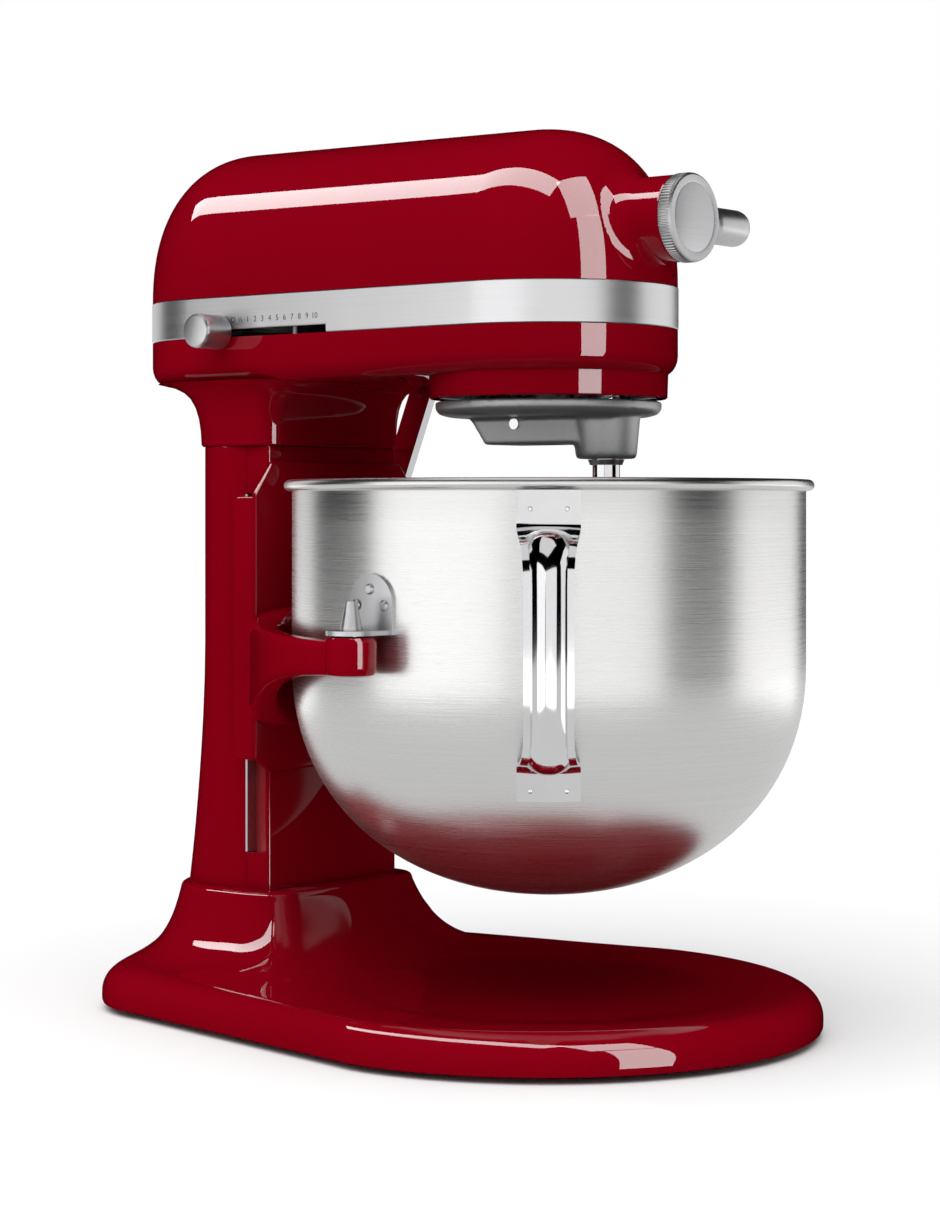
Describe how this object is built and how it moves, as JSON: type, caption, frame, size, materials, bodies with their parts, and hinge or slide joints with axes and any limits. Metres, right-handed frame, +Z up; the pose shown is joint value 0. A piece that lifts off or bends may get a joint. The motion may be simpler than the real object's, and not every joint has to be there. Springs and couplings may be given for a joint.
{
  "type": "bowl-lift stand mixer",
  "caption": "Stand mixer with a planetary head over a removable steel bowl that a side lever raises and lowers on a column; front hub for attachments.",
  "frame": {"origin": "on the table, under the middle of the whole mixer's footprint", "axes": "+Z up, -Y to the front, the way the attachment hub faces; +X towards the lift lever"},
  "size_m": [0.2876, 0.3608, 0.419],
  "materials": {
    "casting": "gloss candy red enamel over die cast metal",
    "brushed_band": "satin, brushed along its length",
    "brushed_bowl": "fine brushed round the bowl",
    "bright_steel": "polished",
    "plain_steel": "machined",
    "cast_zinc": "satin cast and polished",
    "bearing_bronze": "sintered",
    "foot_rubber": "matte black",
    "dark_plastic": "moulded",
    "gear_nylon": "moulded",
    "board": "lacquered",
    "winding": "varnished"
  },
  "bodies": {
    "stand": {"base": "casting", "base_feet": "foot_rubber", "foot_screws": "plain_steel", "column": "casting", "column_bolts": "plain_steel", "guide_strips": "bright_steel", "lift_bushes": "bearing_bronze", "head_lower": "casting", "neck_bolts": "plain_steel", "trim_band": "brushed_band", "head_cover": "casting", "cover_screws": "plain_steel", "gear_plate": "cast_zinc", "plate_screws": "plain_steel", "ring_gear": "plain_steel", "main_bearings": "plain_steel", "counter_bushes": "bearing_bronze", "motor_can": "dark_plastic", "motor_bearings": "plain_steel", "hub_bush": "bearing_bronze", "cord_gland": "foot_rubber", "control_board": "board"},
    "planetary": {"planetary_housing": "cast_zinc", "main_shaft": "plain_steel", "main_gear": "plain_steel", "crown_gear": "plain_steel", "housing_screw": "bright_steel"},
    "beater_spindle": {"beater_shaft": "bright_steel", "beater_pinion": "plain_steel", "beater_pin": "bright_steel", "beater_collar": "bright_steel"},
    "countershaft": {"counter_shaft": "plain_steel", "counter_gear": "gear_nylon", "counter_pinion": "plain_steel"},
    "motor_spindle": {"motor_shaft": "plain_steel", "motor_pinion": "plain_steel", "motor_rotor": "winding", "motor_fan": "gear_nylon"},
    "hub_drive": {"hub_shaft": "plain_steel", "hub_pinion": "plain_steel"},
    "hub_cover": {"hub_cap": "bright_steel"},
    "hub_clamp": {"hub_knob": "bright_steel"},
    "speed_lever": {"speed_knob": "bright_steel", "speed_slider": "dark_plastic"},
    "lever": {"lift_lever": "bright_steel", "lift_shaft": "plain_steel", "lift_crank": "plain_steel"},
    "link": {"lift_link": "plain_steel"},
    "carriage": {"yoke": "casting", "locating_pins": "bright_steel", "lift_bracket": "plain_steel", "bowl_clip": "bright_steel", "clip_screws": "plain_steel"},
    "bowl_set": {"bowl": "brushed_bowl", "bowl_handle": "bright_steel", "bowl_brackets": "bright_steel", "bowl_rivets": "bright_steel", "bowl_stud": "bright_steel"}
  },
  "joints": [
    {"name": "planetary_spin", "type": "hinge", "parent": "stand", "child": "planetary", "pos_m": [0, -0.05325, 0.2922], "axis": [0, 0, 1], "continuous": true},
    {"name": "beater_spin", "type": "hinge", "parent": "planetary", "child": "beater_spindle", "pos_m": [0, -0.08625, 0.2922], "axis": [0, 0, 1], "continuous": true},
    {"name": "countershaft_spin", "type": "hinge", "parent": "stand", "child": "countershaft", "pos_m": [0, -0.0095, 0.321], "axis": [0, 0, 1], "continuous": true},
    {"name": "motor_spin", "type": "hinge", "parent": "stand", "child": "motor_spindle", "pos_m": [0, 0.0265, 0.341], "axis": [0, 0, 1], "continuous": true},
    {"name": "hub_spin", "type": "hinge", "parent": "stand", "child": "hub_drive", "pos_m": [0, -0.09325, 0.3717], "axis": [0, -1, 0], "continuous": true},
    {"name": "hub_cap_pull", "type": "slide", "parent": "stand", "child": "hub_cover", "axis": [0, -1, 0], "range_m": [0, 0.06]},
    {"name": "hub_knob_turn", "type": "hinge", "parent": "stand", "child": "hub_clamp", "pos_m": [0.02, -0.12025, 0.3717], "axis": [1, 0, 0], "range_deg": [0, 720]},
    {"name": "speed_slide", "type": "slide", "parent": "stand", "child": "speed_lever", "axis": [0, -1, 0], "range_m": [0, 0.042]},
    {"name": "lift_lever_turn", "type": "hinge", "parent": "stand", "child": "lever", "pos_m": [0, 0.10735, 0.222], "axis": [-1, 0, 0], "range_deg": [0, 150]},
    {"name": "link_turn", "type": "hinge", "parent": "lever", "child": "link", "pos_m": [-0.007, 0.11266, 0.2418], "axis": [-1, 0, 0], "range_deg": [-150, 0]},
    {"name": "bowl_lift", "type": "slide", "parent": "stand", "child": "carriage", "axis": [0, 0, -1], "range_m": [0, 0.0396]},
    {"name": "bowl_off", "type": "slide", "parent": "carriage", "child": "bowl_set", "axis": [0, 0, 1], "range_m": [0, 0.016]}
  ],
  "couplings": [
    {"joint": "beater_spin", "follows": "planetary_spin", "ratio": -3.75},
    {"joint": "countershaft_spin", "follows": "planetary_spin", "ratio": -4},
    {"joint": "motor_spin", "follows": "planetary_spin", "ratio": 20},
    {"joint": "hub_spin", "follows": "planetary_spin", "ratio": 2},
    {"joint": "link_turn", "follows": "lift_lever_turn", "ratio": -1},
    {"joint": "bowl_lift", "follows": "lift_lever_turn", "m_per_rad": 0.015126}
  ]
}
